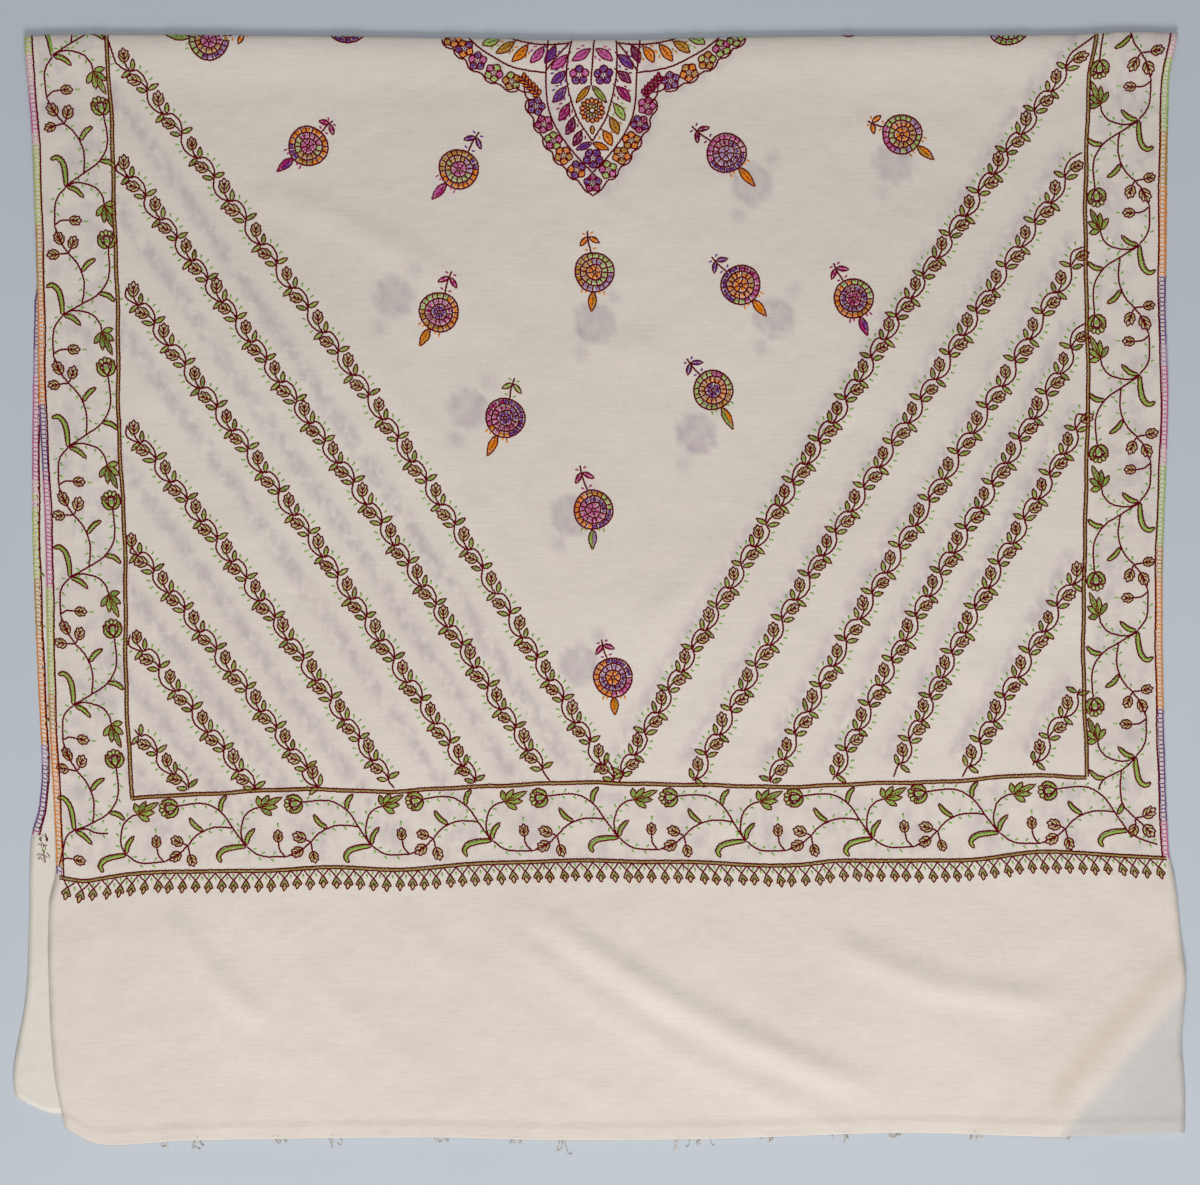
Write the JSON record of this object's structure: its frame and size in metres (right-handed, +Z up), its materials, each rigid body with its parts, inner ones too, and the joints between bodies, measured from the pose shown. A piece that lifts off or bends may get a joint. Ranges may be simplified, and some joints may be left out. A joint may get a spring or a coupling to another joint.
{
  "type": "embroidered wool shawl",
  "caption": "Thin cream wool shawl with floral hand embroidery, folded once across its middle and laid flat, plain hemmed end towards the viewer.",
  "frame": {"origin": "on the ground, under the middle of the folded shawl's outline", "axes": "+X across the cloth to the right, +Y towards the fold, -Y towards the plain hemmed end, +Z up off the surface that it lies on"},
  "size_m": [1.0537, 0.9993, 0.0069],
  "materials": {
    "wool": "fine plain weave, matt, slightly see-through",
    "wool_back": "wrong side of the same plain weave",
    "outline_thread": "twisted maroon embroidery thread, soft sheen",
    "leaf_thread": "twisted green embroidery threads, soft sheen",
    "flower_thread": "embroidery threads in orange, ochre, pink, magenta and purple, soft sheen"
  },
  "bodies": {
    "root": {"upper_half": "wool", "under_half": "wool_back", "turned_corner": "wool_back", "frame_line": "outline_thread", "border_end": "outline_thread", "medallion": "flower_thread", "vine_left_1": "leaf_thread", "vine_left_2": "leaf_thread", "vine_left_3": "leaf_thread", "vine_left_4": "leaf_thread", "vine_left_5": "leaf_thread", "vine_left_6": "leaf_thread", "vine_right_1": "leaf_thread", "vine_right_2": "leaf_thread", "vine_right_3": "leaf_thread", "vine_right_4": "leaf_thread", "vine_right_5": "leaf_thread", "vine_right_6": "leaf_thread", "motif_01": "flower_thread", "motif_02": "flower_thread", "motif_03": "flower_thread", "motif_04": "flower_thread", "motif_05": "flower_thread", "motif_06": "flower_thread", "motif_07": "flower_thread", "motif_08": "flower_thread", "motif_09": "flower_thread", "motif_10": "flower_thread", "motif_11": "flower_thread", "motif_12": "flower_thread"}
  },
  "joints": []
}
